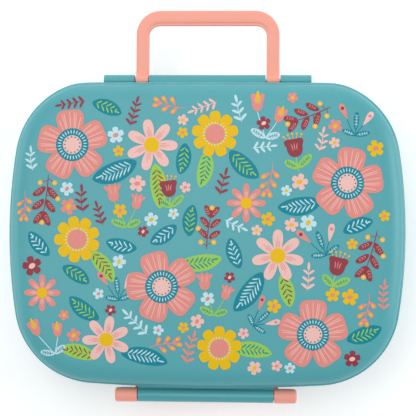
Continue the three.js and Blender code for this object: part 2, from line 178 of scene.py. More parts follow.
class Finish:
    """A material with one Principled shader, built from fixed socket values and wires."""

    def __init__(self, name, **fixed):
        self.material = bpy.data.materials.new(name)
        self.material.use_nodes = True
        self.tree = self.material.node_tree
        self.shader = self.tree.nodes["Principled BSDF"]
        for socket, value in fixed.items():
            self.set(socket.replace("_", " "), value)
        self.place = self.node("ShaderNodeTexCoord", {}, {}, "Object")

    def set(self, socket, value):
        target = self.shader.inputs[socket]
        if isinstance(value, Wire):
            value.feed(target)
        else:
            target.default_value = value

    def node(self, kind, settings, sockets, output=0):
        node = self.tree.nodes.new(kind)
        for key, value in settings.items():
            setattr(node, key, value)
        for key, value in sockets.items():
            if isinstance(value, Wire):
                value.feed(node.inputs[key])
            else:
                node.inputs[key].default_value = value
        return Wire(node.outputs[output])

    def noise(self, scale, detail):
        sockets = {"Vector": self.place, "Scale": scale, "Detail": detail}
        return self.node("ShaderNodeTexNoise", {}, sockets, "Fac")

    def blend(self, factor, first, second):
        return self.node("ShaderNodeMix", {"data_type": "RGBA"}, {0: factor, 6: first, 7: second}, 2)

    def relief(self, height, strength, depth):
        bump = {"Height": height, "Strength": strength, "Distance": depth}
        self.set("Normal", self.node("ShaderNodeBump", {}, bump))


def shade(colour, factor):
    return tuple(min(1.0, channel * factor) for channel in colour[:3]) + (1,)


def moulded_plastic(name, colour, roughness, polished=None):
    """Satin polypropylene: faint flow clouds in its colour, fine spark-eroded grain, uneven gloss. It is
    glossy between the two heights in polished, where the mould is polished."""
    finish = Finish(name, IOR=1.49, Specular_IOR_Level=0.5)
    grain_depth = 0.012 * MM
    clouds = finish.noise(16, 4)
    grain = finish.noise(1500, 3)
    speck = finish.noise(420, 2)
    finish.set("Base Color", finish.blend(clouds, shade(colour, 0.955), shade(colour, 1.045)))
    satin = roughness - 0.06 + clouds * 0.07 + speck * 0.05
    if polished:
        height = finish.node("ShaderNodeSeparateXYZ", {}, {"Vector": finish.place}, "Z")
        above = height.math("GREATER_THAN", height, polished[0] * MM)
        below = height.math("LESS_THAN", height, polished[1] * MM)
        satin = satin - above * below * (roughness - 0.2)
    finish.set("Roughness", satin)
    finish.relief(grain * 0.7 + speck * 0.3, 0.35, grain_depth)
    return finish.material


teal_plastic = moulded_plastic("teal_plastic", TEAL, 0.42)


def body_outline(side_steps, corner_steps, front_steps):
    """Stations anticlockwise round the box from +X: centre x and y, radius, direction x and y."""
    side_centre = half_width - side_bow
    front_centre = half_depth - front_bow
    to_side = side_bow - corner_radius
    to_front = front_bow - corner_radius
    apart = math.hypot(side_centre, front_centre)
    along = (to_side**2 - to_front**2 + apart**2) / (2 * apart)
    across = math.sqrt(to_side**2 - along**2)
    unit = (-side_centre / apart, front_centre / apart)
    corner = (side_centre + along * unit[0] - across * unit[1], along * unit[1] + across * unit[0])
    side_end = math.atan2(corner[1], corner[0] - side_centre)
    front_start = math.atan2(corner[1] - front_centre, corner[0])
    arcs = [
        ((side_centre, 0), side_bow, 0, side_end, side_steps),
        (corner, corner_radius, side_end, front_start, corner_steps),
        ((0, front_centre), front_bow, front_start, math.pi / 2, front_steps),
    ]
    quadrant = []
    for centre, radius, start, end, steps in arcs:
        for step in range(steps):
            angle = start + (end - start) * step / steps
            quadrant.append((*centre, radius, math.cos(angle), math.sin(angle)))
    half = quadrant + [(0, front_centre, front_bow, 0, 1)]
    half += [(-cx, cy, r, -ux, uy) for cx, cy, r, ux, uy in reversed(quadrant[1:])]
    half += [(-side_centre, 0, side_bow, -1, 0)]
    return half + [(cx, -cy, r, ux, -uy) for cx, cy, r, ux, uy in reversed(half[1:-1])]


def body_point(station, inset):
    """The straight rear edge meets the bowed outline in a soft corner."""
    centre_x, centre_y, radius, ux, uy = station
    x = centre_x + (radius - inset) * ux
    y = centre_y + (radius - inset) * uy
    softness = 0.7
    overshoot = (y - (rear_flat - inset)) / softness
    return x, y - softness * math.log1p(math.exp(min(overshoot, 40)))


def panel_outline(half_x, half_y, radii, corner_steps):
    """Stations of a rectangle about its own middle, with its own radius at each corner."""
    stations = []
    for turn, (sign_x, sign_y) in enumerate([(1, 1), (-1, 1), (-1, -1), (1, -1)]):
        radius = radii[turn]
        centre = (sign_x * (half_x - radius), sign_y * (half_y - radius))
        for step in range(corner_steps + 1):
            angle = (turn + step / corner_steps) * math.pi / 2
            stations.append((*centre, radius, math.cos(angle), math.sin(angle)))
    return stations


def panel_point(station, inset):
    centre_x, centre_y, radius, ux, uy = station
    return centre_x + (radius - inset) * ux, centre_y + (radius - inset) * uy


def rounded(points, steps=3):
    """A path of (a, b) corners. A third number rounds that corner, starting that far from it."""
    path = []
    for index, (a, b, *radius) in enumerate(points):
        here = Vector((a, b))
        if not radius:
            path.append(tuple(here))
            continue
        start = here + (Vector(points[index - 1][:2]) - here).normalized() * radius[0]
        end = here + (Vector(points[(index + 1) % len(points)][:2]) - here).normalized() * radius[0]
        for step in range(steps + 1):
            share = step / steps
            path.append(tuple(start.lerp(here, share).lerp(here.lerp(end, share), share)))
    return path


def bezier(start, start_pull, end_pull, end, steps):
    curve = []
    for step in range(steps + 1):
        t = step / steps
        weights = ((1 - t) ** 3, 3 * t * (1 - t) ** 2, 3 * t**2 * (1 - t), t**3)
        points = (start, start_pull, end_pull, end)
        curve.append(tuple(sum(w * p[axis] for w, p in zip(weights, points)) for axis in (0, 1)))
    return curve


def verts_of(items):
    return [item for item in items if isinstance(item, bmesh.types.BMVert)]


def edges_of(items):
    return [item for item in items if isinstance(item, bmesh.types.BMEdge)]


def round_edges(bm, edges, offset, segments):
    bmesh.ops.bevel(
        bm,
        geom=edges,
        offset=offset,
        offset_type="OFFSET",
        segments=segments,
        profile=0.5,
        affect="EDGES",
        material=-1,
    )


def chain(bm, points, closed=False):
    verts = [bm.verts.new(point) for point in points]
    pairs = list(zip(verts, verts[1:]))
    if closed:
        pairs.append((verts[-1], verts[0]))
    return verts + [bm.edges.new(pair) for pair in pairs]


def spin_round(bm, geometry, centre, axis, steps):
    """Spins a chain a full turn and closes its poles. Returns the new points."""
    known = set(bm.verts) - set(geometry)
    bmesh.ops.spin(
        bm,
        geom=geometry,
        cent=centre,
        axis=axis,
        dvec=(0, 0, 0),
        angle=2 * math.pi,
        steps=steps,
        use_merge=True,
    )
    bmesh.ops.remove_doubles(bm, verts=[v for v in bm.verts if v not in known], dist=1e-4)
    return [v for v in bm.verts if v not in known]


SPAN = 100  # how far out the rings are spun before moulding() draws them in onto the outline


def moulding(bm, profile, stations, point_at, deep, centre=(0, 0), closed=False):
    """Spins a profile of (inset, z) and bends it onto an outline. Up to the inset called deep, rings run
    parallel to the outline. Past it they shrink evenly, to the middle at deep + SPAN."""
    reach = deep + SPAN
    geometry = chain(bm, [(reach - inset, 0, z) for inset, z in profile], closed)
    for vert in spin_round(bm, geometry, (0, 0, 0), (0, 0, 1), len(stations)):
        radius = math.hypot(vert.co.x, vert.co.y)
        turn = round(math.atan2(vert.co.y, vert.co.x) / (2 * math.pi) * len(stations))
        share = min(1, radius / SPAN)
        x, y = point_at(stations[turn % len(stations)], min(reach - radius, deep))
        vert.co.x = centre[0] + x * share
        vert.co.y = centre[1] + y * share


def knuckle(bm, x0, x1, centre, radius, hole, edge=0.4, steps=40):
    """A tube along X with softened ends."""
    section = [(x0, hole, 0.2), (x0, radius, edge), (x1, radius, edge), (x1, hole, 0.2)]
    points = [(x, centre.y + r, centre.z) for x, r in rounded(section)]
    spin_round(bm, chain(bm, points, closed=True), (0, centre.y, centre.z), (1, 0, 0), steps)


def bar(bm, section, x0, x1, edge=0.35):
    """A flat section in Y and Z drawn out along X, with its edges softened."""
    corners = [bm.verts.new((x0, y, z)) for y, z in section]
    face = bm.faces.new(corners)
    moved = verts_of(bmesh.ops.extrude_face_region(bm, geom=[face])["geom"])
    bmesh.ops.translate(bm, verts=moved, vec=(x1 - x0, 0, 0))
    round_edges(bm, list({e for vert in corners + moved for e in vert.link_edges}), edge, 2)


def block(bm, x0, x1, y0, y1, z0, z1, edge):
    bar(bm, [(y0, z0), (y0, z1), (y1, z1), (y1, z0)], x0, x1, edge)


def finish_piece(bm, name, body, nodes, material, crease=32):
    """Turns millimetres into metres, smooths all but the true edges, hangs the piece on its body's empty and
    hides the parts it stands for.
    """
    bmesh.ops.recalc_face_normals(bm, faces=bm.faces)
    bmesh.ops.scale(bm, vec=(MM, MM, MM), verts=bm.verts)
    mesh = bpy.data.meshes.new(name)
    bm.to_mesh(mesh)
    bm.free()
    mesh.shade_smooth()
    mesh.set_sharp_from_angle(angle=math.radians(crease))
    mesh.materials.append(material)
    piece = bpy.data.objects.new(name, mesh)
    bpy.context.collection.objects.link(piece)
    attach(piece, body)
    if nodes:
        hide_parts(*nodes)


outline = body_outline(10, 26, 8)

rim_inset = 4.8
wall_inset_top = 6.5
wall_inset_bottom = 10
bottom_radius = 8
ledge = rim_top - 5.6
shoulder_z = rim_top - 8
base_deep = 26
floor_start = wall_inset_bottom + bottom_radius
inner_radius = bottom_radius - base_wall


def quarter(inset, z, radius, steps=8):
    """A quarter circle from the wall at the given inset down to the floor, radius below z."""
    angles = [math.pi / 2 * step / steps for step in range(steps + 1)]
    return [(inset + radius * (1 - math.cos(a)), z - radius * math.sin(a)) for a in angles]


groove_depth = 0.7
foot_ring = [
    (floor_start + 1.2, 0, 0.4),
    (floor_start + 1.7, groove_depth, 0.3),
    (floor_start + 4.2, groove_depth, 0.3),
    (floor_start + 4.7, 0, 0.4),
]
base_profile = [
    (base_deep + SPAN, base_wall),
    (base_deep, base_wall),
    *reversed(quarter(wall_inset_bottom + base_wall, bottom_radius, inner_radius)),
    *rounded(
        [
            (wall_inset_bottom + base_wall - 0.5, bottom_radius + 4),
            (wall_inset_top + base_wall, shoulder_z),
            (wall_inset_top + base_wall, ledge, 0.5),
            (rim_inset + 2, ledge, 0.4),
            (rim_inset + 2, rim_top, 0.7),
            (rim_inset, rim_top, 0.7),
            (rim_inset, shoulder_z + 2, 0.8),
            (wall_inset_top, shoulder_z, 0.8),
            (wall_inset_top + 0.5, shoulder_z - 4),
        ]
    ),
    *quarter(wall_inset_bottom, bottom_radius, bottom_radius),
    *rounded(foot_ring, 2),
    (base_deep, 0),
    (base_deep + SPAN, 0),
]
base = bmesh.new()
moulding(base, base_profile, outline, body_point, base_deep)

bar_end = 57
leg_spacing = 36
leg_width = 7.1
leg_clearance = 0.55
slot_outer = leg_spacing + leg_width / 2 + leg_clearance
slot_inner = leg_spacing - leg_width / 2 - leg_clearance
hinge_radius = 3
pin_hole = 1.3
wall_y = rear_flat - wall_inset_top - base_wall / 2
arm = [
    (wall_y, HINGE.z - 0.8),
    (HINGE.y - 1.45, HINGE.z - 0.8),
    (HINGE.y - 0.6, HINGE.z - 1.9),
    (HINGE.y - 1.1, HINGE.z - 2.75),
    (wall_y, HINGE.z - 8.8),
]
for x0, x1 in ((-bar_end, -slot_outer), (slot_outer, bar_end)):
    knuckle(base, x0, x1, HINGE, hinge_radius, pin_hole)
    bar(base, arm, x0, x1)

shelf_top = LATCH.z - 10
shelf_edge = LATCH.y + 5.1
shelf_root = -(half_depth - wall_inset_top - base_wall / 2) + 0.7
shelf_half = 36
shelf_under = shelf_top - 2.4
block(base, -shelf_half, shelf_half, shelf_edge, shelf_root, shelf_under, shelf_top, 0.5)
gusset = [
    (shelf_edge + 1.6, shelf_top - 2.2),
    (shelf_root + 0.3, shelf_top - 2.2),
    (shelf_root + 1.3, shelf_top - 14),
]
for middle in (-1, -0.34, 0.34, 1):
    gusset_x = middle * (shelf_half - 1.4)
    bar(base, gusset, gusset_x - 1, gusset_x + 1, 0.3)
finish_piece(base, "base_tub", "base", ["base_shell"], teal_plastic)

# ---------------------------------------------------------------- food tray
# The tray is a coral moulding with three compartments, one large and two small. Its flange lies on the ledge
# inside the base's rim, and it lifts out to be washed.
CORAL = (0.93, 0.372, 0.285, 1)
coral_plastic = moulded_plastic("coral_plastic", CORAL, 0.44)
tray_low, tray_high = (Vector(corner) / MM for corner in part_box("food_tray"))
tray_top = tray_high.z
plate_bottom = tray_top - 2
flange_inset = 7.2
tray_wall = 1.8
tray_floor = tray_low.z + tray_wall
tray_draft = 1.8
floor_curve = 6
lip = 1.3


def bow_depth(bow, half_span):
    """How far an edge bowed to that radius has fallen back, half_span from its middle."""
    return bow - math.sqrt(bow**2 - half_span**2)


wall_at_floor = wall_inset_bottom + base_wall
side_room = 0.7
end_room = 1.4
side_margin = wall_at_floor + side_room + bow_depth(side_bow, half_depth - corner_radius)
end_margin = wall_at_floor + end_room + bow_depth(front_bow, half_width - corner_radius)
tray_right = half_width - side_margin
tray_front = end_margin - half_depth
tray_rear = rear_flat - end_margin
divider_x = (16, 24)
divider_y = (-5, 3)
outer_corner = 36
inner_corner = 10
left_corners = (inner_corner, outer_corner, outer_corner, inner_corner)
rear_corners = (outer_corner, inner_corner, inner_corner, inner_corner)
front_corners = (inner_corner, inner_corner, inner_corner, outer_corner)
compartments = [
    ((-tray_right, tray_front), (divider_x[0], tray_rear), left_corners),
    ((divider_x[1], divider_y[1]), (tray_right, tray_rear), rear_corners),
    ((divider_x[1], tray_front), (tray_right, divider_y[0]), front_corners),
]
tray = bmesh.new()
flange = [
    (flange_inset + 0.8, tray_top),
    (flange_inset, tray_top, 0.7),
    (flange_inset, plate_bottom, 0.7),
    (flange_inset + 0.8, plate_bottom),
]
moulding(tray, rounded(flange), outline, body_point, base_deep)
tray_deep = tray_draft + floor_curve
for low, high, radii in compartments:
    middle = ((low[0] + high[0]) / 2, (low[1] + high[1]) / 2)
    stations = panel_outline((high[0] - low[0]) / 2, (high[1] - low[1]) / 2, radii, 14)
    lip_angles = (0, 0.4, 0.8, 1.2, math.pi / 2)
    inside = [
        *[(-lip + lip * math.sin(a), tray_top - lip + lip * math.cos(a)) for a in lip_angles],
        *quarter(tray_draft, tray_floor + floor_curve, floor_curve),
        (tray_deep + SPAN, tray_floor),
    ]
    outside = [
        (-tray_wall - 0.9, plate_bottom),
        (-tray_wall - 0.3, plate_bottom - 0.3),
        (-tray_wall, plate_bottom - 0.9),
        *quarter(tray_draft - tray_wall, tray_floor + floor_curve - tray_wall, floor_curve),
        (tray_deep - tray_wall + SPAN, tray_floor - tray_wall),
    ]
    moulding(tray, inside, stations, panel_point, tray_deep, middle)
    moulding(tray, outside, stations, panel_point, tray_deep - tray_wall, middle)
for level in (tray_top, plate_bottom):
    rims = [e for e in tray.edges if e.is_boundary and abs(e.verts[0].co.z - level) < 0.01]
    bmesh.ops.triangle_fill(tray, use_beauty=True, use_dissolve=False, edges=rims)
finish_piece(tray, "food_tray_moulding", "base", ["food_tray"], coral_plastic)

# ---------------------------------------------------------------- hinge pin
# One drawn steel wire runs through the base's knuckles, the handle's eyes and the lid's long knuckle. Its
# ends are chamfered and sit just inside the ends of the hinge.
pin_radius = 1
steel = Finish("drawn_steel", Metallic=1.0, Roughness=0.28)
stretch = steel.node("ShaderNodeMapping", {}, {"Vector": steel.place, "Scale": (30, 2600, 2600)})
drawn_lines = steel.node("ShaderNodeTexNoise", {}, {"Vector": stretch, "Scale": 1, "Detail": 3}, "Fac")
steel.set("Base Color", steel.blend(drawn_lines, (0.5, 0.51, 0.53, 1), (0.72, 0.73, 0.75, 1)))
steel.set("Roughness", 0.2 + drawn_lines * 0.18)


def pin(name, centre, half_length, body, node):
    bm = bmesh.new()
    points = [
        (-half_length, 0),
        (-half_length, pin_radius, 0.3),
        (half_length, pin_radius, 0.3),
        (half_length, 0),
    ]
    path = [(centre.x + x, centre.y + r, centre.z) for x, r in rounded(points, 2)]
    spin_round(bm, chain(bm, path), (0, centre.y, centre.z), (1, 0, 0), 28)
    finish_piece(bm, name, body, [node], steel.material)


pin("hinge_wire", HINGE, bar_end - 1, "base", "hinge_pin")

# ---------------------------------------------------------------- lid
# The lid is a domed teal moulding. A thin polished bead runs round its edge, and a skirt below it closes
# over the base's rim. It carries the long hinge knuckle at the back and the latch knuckle at the front.
lid_wall = 2
ink_room = 0.25
crown = lid_high.z - ink_room
dome_rise = 4
shoulder_width = 13
lid_deep = shoulder_width
bead_underside = rim_top + 1
bead_top = bead_underside + 2.6
shoulder_foot = 1.2
foot_z = bead_top + 0.3
dome_reach = 95
dome_slope = 2 * dome_rise / dome_reach


def dome(top):
    shares = [0, 0.1, 0.22, 0.34, 0.46, 0.58, 0.7, 0.81, 0.91]
    return [(lid_deep + SPAN * (1 - share), top - dome_rise * share**2) for share in shares]


def shoulder(edge_inset, top):
    """The curve from the dome's edge down to the top of the bead."""
    start = (shoulder_width, top - dome_rise)
    reach = (shoulder_width - edge_inset) * 0.66
    start_pull = (shoulder_width - reach, start[1] - reach * dome_slope)
    end_pull = (edge_inset, foot_z + (start[1] - foot_z) * 0.58)
    return bezier(start, start_pull, end_pull, (edge_inset, foot_z), 16)


skirt_outer = 2.4
skirt_inner = skirt_outer + lid_wall
skirt_bottom = bead_underside - 4
bead_and_skirt = [
    (shoulder_foot, foot_z),
    (shoulder_foot - 0.1, bead_top, 0.2),
    (0.85, bead_top, 0.12),
    (0, bead_top - 0.62, 0.25),
    (0, bead_underside, 0.7),
    (skirt_outer, bead_underside, 0.3),
    (skirt_outer, skirt_bottom, 0.5),
    (skirt_inner, skirt_bottom, 0.5),
    (skirt_inner, foot_z),
]
lid_profile = [
    *dome(crown),
    *shoulder(shoulder_foot, crown),
    *rounded(bead_and_skirt, 4)[1:-1],
    *reversed(shoulder(skirt_inner, crown - lid_wall)),
    *reversed(dome(crown - lid_wall)),
]
lid = bmesh.new()
moulding(lid, lid_profile, outline, body_point, lid_deep)
lid_surface = BVHTree.FromBMesh(lid)

knuckle(lid, -slot_inner, slot_inner, HINGE, hinge_radius, pin_hole)
web_root = rear_flat - skirt_outer - 0.6
hinge_web = [
    (web_root, HINGE.z + 0.2),
    (HINGE.y - 1.6, HINGE.z + 0.2),
    (HINGE.y - 1.2, HINGE.z + 1.2),
    (HINGE.y - 0.3, HINGE.z + 1.9),
    (HINGE.y + 0.2, HINGE.z + 2.75),
    (HINGE.y + 0.1, HINGE.z + 2.98),
    (HINGE.y - 1.2, bead_underside - 0.25),
    (web_root, bead_underside - 0.25),
]
bar(lid, hinge_web, -slot_inner, slot_inner, 0.08)

latch_knuckle_half = 37.2
latch_radius = 3.9
socket_depth = 7.5
half_turned = [
    (latch_knuckle_half - socket_depth, 0),
    (latch_knuckle_half - socket_depth, pin_hole),
    (latch_knuckle_half, pin_hole, 0.25),
    (latch_knuckle_half, latch_radius, 0.35),
]
right_end = rounded(half_turned)
turned = right_end + [(-x, r) for x, r in reversed(right_end)]
path = [(x, LATCH.y + r, LATCH.z) for x, r in turned]
spin_round(lid, chain(lid, path), (0, LATCH.y, LATCH.z), (1, 0, 0), 56)
web_half = latch_knuckle_half - 0.2
web_back = skirt_outer + 1.2 - half_depth
block(lid, -web_half, web_half, LATCH.y + 2.2, web_back, LATCH.z - 0.2, LATCH.z + 0.9, 0.3)
lid_plastic = moulded_plastic("lid_plastic", TEAL, 0.42, (bead_underside, bead_top + 0.05))
finish_piece(lid, "lid_moulding", "lid", ["lid_shell"], lid_plastic)

# ---------------------------------------------------------------- lid liner
# A cream inner panel snaps into the lid. Raised ribs on its face hold the seals, in a channel round the edge
# and in a tee over the tray's dividers.
LINER = (0.84, 0.81, 0.75, 1)
liner_plastic = moulded_plastic("liner_plastic", LINER, 0.4)
seal_inset = 8.4
seal_width = 2.5
rib = 0.8
clear = 0.3
liner_low, liner_high = (Vector(corner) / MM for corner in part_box("lid_liner"))
liner_face = liner_low.z + 2
rib_foot = liner_low.z
outer_rib = seal_inset - clear - rib
inner_rib = seal_inset + seal_width + clear
panel_edge = inner_rib + rib + 6
liner_deep = panel_edge + 4
liner_inset = 5
liner_edge = [
    (liner_inset + 0.6, liner_high.z),
    (liner_inset, liner_high.z, 0.5),
    (liner_inset, liner_face, 0.4),
    (outer_rib, liner_face),
]
liner_profile = [
    (liner_deep + SPAN, liner_high.z),
    (liner_deep, liner_high.z),
    *rounded(liner_edge)[1:-1],
]
for start in (outer_rib, inner_rib):
    rib_corners = [
        (start - 1, liner_face),
        (start, liner_face, 0.2),
        (start, rib_foot, 0.25),
        (start + rib, rib_foot, 0.25),
        (start + rib, liner_face, 0.2),
        (start + rib + 1, liner_face),
    ]
    liner_profile += rounded(rib_corners, 2)[1:-1]
panel_face = liner_face + 0.5
panel_step = [
    (panel_edge - 1, liner_face),
    (panel_edge, liner_face, 0.5),
    (panel_edge + 1, panel_face, 0.5),
    (liner_deep, panel_face),
]
liner_profile += rounded(panel_step)[1:]
liner_profile.append((liner_deep + SPAN, panel_face))
liner = bmesh.new()
moulding(liner, liner_profile, outline, body_point, liner_deep)
tee_x = sum(divider_x) / 2
tee_y = sum(divider_y) / 2
tee_width = 3
channel = tee_width / 2 + clear
tee_top = rear_flat - inner_rib - 0.4
tee_bottom = inner_rib + 1.1 - half_depth
tee_end = half_width - inner_rib - 1.0
left_face = tee_x - channel - rib
right_face = tee_x + channel
rib_root = liner_face + 0.8
tee_ribs = [
    (left_face, left_face + rib, tee_bottom, tee_top),
    (right_face, right_face + rib, tee_bottom, tee_y - channel),
    (right_face, right_face + rib, tee_y + channel, tee_top),
    (right_face, tee_end, tee_y - channel - rib, tee_y - channel),
    (right_face, tee_end, tee_y + channel, tee_y + channel + rib),
]
for x0, x1, y0, y1 in tee_ribs:
    block(liner, x0, x1, y0, y1, rib_foot, rib_root, 0.25)
finish_piece(liner, "liner_panel", "lid", ["lid_liner"], liner_plastic)

# ---------------------------------------------------------------- seals
# Two strips of soft translucent silicone seal the tray: a ring over its edge and a tee over its dividers.
# Each is held in its channel by a square root, and presses on the tray with a rounded lip.
silicone = Finish("silicone", IOR=1.41, Subsurface_Weight=0.15, Subsurface_Scale=0.002)
haze = silicone.noise(90, 3)
silicone.set("Base Color", silicone.blend(haze, (0.62, 0.71, 0.71, 1), (0.72, 0.79, 0.79, 1)))
silicone.set("Roughness", 0.5 + haze * 0.2)
seal_low, seal_high = (Vector(corner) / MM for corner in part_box("rim_seal"))


def lip_section(width):
    """Across and up, anticlockwise from the root's outer corner."""
    half = width / 2
    root = [(-half, seal_high.z, 0.2), (half, seal_high.z, 0.2)]
    return rounded(root + [(half, seal_low.z, 1.1), (-half, seal_low.z, 1.1)], 4)


ring = bmesh.new()
ring_section = [(seal_inset + seal_width / 2 + across, z) for across, z in lip_section(seal_width)]
moulding(ring, ring_section, outline, body_point, base_deep, closed=True)
finish_piece(ring, "rim_seal_ring", "lid", ["rim_seal"], silicone.material)

tee = bmesh.new()
along_y = Matrix.Translation((tee_x, tee_bottom + 0.5, 0)) @ Matrix.Rotation(math.pi / 2, 4, "Z")
along_x = Matrix.Translation((tee_x, tee_y, 0))
for placing, length in ((along_y, tee_top - tee_bottom - 1), (along_x, tee_end - tee_x - 0.5)):
    corners = [tee.verts.new((0, y, z)) for y, z in lip_section(tee_width)]
    moved = verts_of(bmesh.ops.extrude_face_region(tee, geom=[tee.faces.new(corners)])["geom"])
    bmesh.ops.translate(tee, verts=moved, vec=(length, 0, 0))
    bmesh.ops.transform(tee, matrix=placing, verts=corners + moved)
finish_piece(tee, "divider_seal_tee", "lid", ["divider_seal"], silicone.material)

# ---------------------------------------------------------------- handle
# The carrying handle is a solid coral moulding, a U with a broader grip. Its eyes turn on the hinge wire in
# the slots of the hinge, and its legs hang a little below the wire so that the lid opens over them.
_, handle_high = (Vector(corner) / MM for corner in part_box("handle"))
leg_thick = 4.6
leg_drop = 0.9
leg_x = handle_high.x - leg_width / 2
grip_depth = 8.3
outer_bend = 13.5
inner_bend = outer_bend - (leg_width + grip_depth) / 2
leg_start = HINGE.y + 1
leg_middle = HINGE.z - leg_drop - leg_thick / 2


def grip_section(width):
    """Across, from the inner side to the outer, and up. A shallow step runs along the grip's inner edge, and
    fades out where the handle narrows into its legs."""
    half = width / 2
    high = leg_thick / 2
    step = 0.06 + 0.94 * min(1, (width - leg_width) / (grip_depth - leg_width))
    return rounded(
        [
            (-half, -high + 0.1, 1.0),
            (half, -high + 0.1, 1.3),
            (half, high - 0.2, 1.2),
            (half - 1.9, high),
            (0, high),
            (-half + 2.6, high - 0.05 * step),
            (-half + 1.5, high - 0.3 * step, 0.3),
            (-half + 1.3, high - 0.7 * step, 0.15),
            (-half, high - 0.65 * step, 0.3),
        ],
        4,
    )


def handle_route():
    """Pairs of points on the U's outer and inner edges, from the right eye to the left one."""
    grip_edge = handle_high.y
    outer_corner_x = leg_x + leg_width / 2 - outer_bend
    outer_corner_y = grip_edge - outer_bend
    inner_corner_x = leg_x - leg_width / 2 - inner_bend
    inner_corner_y = grip_edge - grip_depth - inner_bend
    pairs = [((leg_x + leg_width / 2, y), (leg_x - leg_width / 2, y)) for y in (leg_start, leg_start + 12)]
    bend_steps = 14
    for step in range(bend_steps + 1):
        angle = math.pi / 2 * step / bend_steps
        ux, uy = math.cos(angle), math.sin(angle)
        outer = (outer_corner_x + outer_bend * ux, outer_corner_y + outer_bend * uy)
        inner = (inner_corner_x + inner_bend * ux, inner_corner_y + inner_bend * uy)
        pairs.append((outer, inner))
    mirrored = [((-outer[0], outer[1]), (-inner[0], inner[1])) for outer, inner in reversed(pairs)]
    return pairs + mirrored


handle = bmesh.new()
ring_verts = []
for outer, inner in handle_route():
    outer, inner = Vector((*outer, 0)), Vector((*inner, 0))
    width = (outer - inner).length
    middle = (outer + inner) / 2
    outward = (outer - inner).normalized()
    section = grip_section(width)
    places = [middle + outward * across + Vector((0, 0, leg_middle + up)) for across, up in section]
    if not ring_verts:
        first_ring = chain(handle, places, closed=True)
        ring_edges = edges_of(first_ring)
        ring_verts = verts_of(first_ring)
        handle.faces.new(ring_verts)
        continue
    drawn = bmesh.ops.extrude_edge_only(handle, edges=ring_edges)["geom"]
    ring_edges = [edge for edge in edges_of(drawn) if edge.is_boundary]
    partners = {v: w for v in ring_verts for e in v.link_edges for w in e.verts if w in drawn}
    ring_verts = [partners[v] for v in ring_verts]
    for vert, place in zip(ring_verts, places):
        vert.co = place
handle.faces.new(ring_verts)
fairing = [
    (HINGE.y + 1.45, HINGE.z - 0.7),
    (HINGE.y + 1.2, HINGE.z + 1.2),
    (HINGE.y + 2.3, HINGE.z + 1.3),
    (HINGE.y + 4.6, HINGE.z - 1.1),
    (HINGE.y + 4.6, HINGE.z - 2.4),
    (HINGE.y + 1.45, HINGE.z - 2.4),
]
for side in (-1, 1):
    x0, x1 = side * leg_x - leg_width / 2, side * leg_x + leg_width / 2
    knuckle(handle, x0, x1, HINGE, hinge_radius, pin_hole, edge=0.6)
    bar(handle, fairing, x0 + 0.3, x1 - 0.3, 0.3)
finish_piece(handle, "handle_moulding", "handle", ["handle"], coral_plastic)

# ---------------------------------------------------------------- latch
# The latch is a springy coral flap. Its two barrels turn on short pins in the ends of the lid's knuckle, it
# curves in towards the base, and the bar across its back hooks under the base's shelf.
latch_low, latch_high = (Vector(corner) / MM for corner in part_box("latch"))
latch_half = latch_high.x
latch_drop = LATCH.z - latch_low.z
flap_thick = 2.6
flap_face = LATCH.y - latch_radius + 0.3
flap_bow = 3.6
tip_lift = 2
barrel_start = latch_knuckle_half + 0.4
flap_corner = 8


def flap_outer(share):
    """Y of the flap's outer face at a share of the way down it. Its last quarter lifts for a fingertip."""
    lifted = max(0, (share - 0.75) / 0.25) ** 2
    return flap_face + flap_bow * (1 - math.cos(share * math.pi / 2)) - tip_lift * lifted


cut_depth = latch_radius + 0.7
flap_top = 1.5
flap_outline = rounded(
    [
        (-latch_half, flap_top),
        (-latch_half, latch_drop, flap_corner),
        (latch_half, latch_drop, flap_corner),
        (latch_half, flap_top),
        (barrel_start, flap_top),
        (barrel_start, cut_depth, 1.2),
        (-barrel_start, cut_depth, 1.2),
        (-barrel_start, flap_top),
    ],
    8,
)
flap = bmesh.new()
flap.faces.new([flap.verts.new((x, 0, -down)) for x, down in flap_outline])
strips = 12
for strip in range(1, strips):
    cut_at = (0, 0, -latch_drop * strip / strips)
    sheet = flap.verts[:] + flap.edges[:] + flap.faces[:]
    bmesh.ops.bisect_plane(flap, geom=sheet, plane_co=cut_at, plane_no=(0, 0, 1))
inner_side = bmesh.ops.extrude_face_region(flap, geom=flap.faces[:])["geom"]
bmesh.ops.translate(flap, verts=verts_of(inner_side), vec=(0, flap_thick, 0))
sharp_edges = [e for e in flap.edges if abs(e.calc_face_angle(0)) > 0.6]
rim_edges = [e for e in sharp_edges if min(v.co.z for v in e.verts) < -flap_top - 0.05]
round_edges(flap, rim_edges, 0.7, 3)
for vert in flap.verts:
    vert.co.y += flap_outer(-vert.co.z / latch_drop)
    vert.co.z += LATCH.z
bore_depth = 7
for side in (-1, 1):
    inner_x, outer_x = side * barrel_start, side * latch_half
    barrel = [
        (inner_x + side * bore_depth, 0),
        (inner_x + side * bore_depth, pin_hole),
        (inner_x, pin_hole, 0.25),
        (inner_x, latch_radius, 0.5),
        (outer_x, latch_radius, 1.7),
        (outer_x, 0),
    ]
    path = [(x, LATCH.y + r, LATCH.z) for x, r in rounded(barrel, 5)]
    spin_round(flap, chain(flap, path), (0, LATCH.y, LATCH.z), (1, 0, 0), 48)
hook_top = shelf_under - 0.3
hook_edge = shelf_edge - 0.4
hook_root = flap_outer((LATCH.z - hook_top) / latch_drop) + flap_thick / 2
hook_half = 40
hook = [
    (hook_root, hook_top - 5),
    (hook_edge, hook_top - 1.4),
    (hook_edge, hook_top),
    (hook_root, hook_top),
]
bar(flap, hook, -hook_half, hook_half, 0.3)
finish_piece(flap, "latch_flap", "latch", ["latch"], coral_plastic)

for side, name in ((-1, "left"), (1, "right")):
    centre = Vector((side * latch_knuckle_half, LATCH.y, LATCH.z))
    pin(f"latch_stud_{name}", centre, 6.5, "lid", f"latch_pin_{name}")

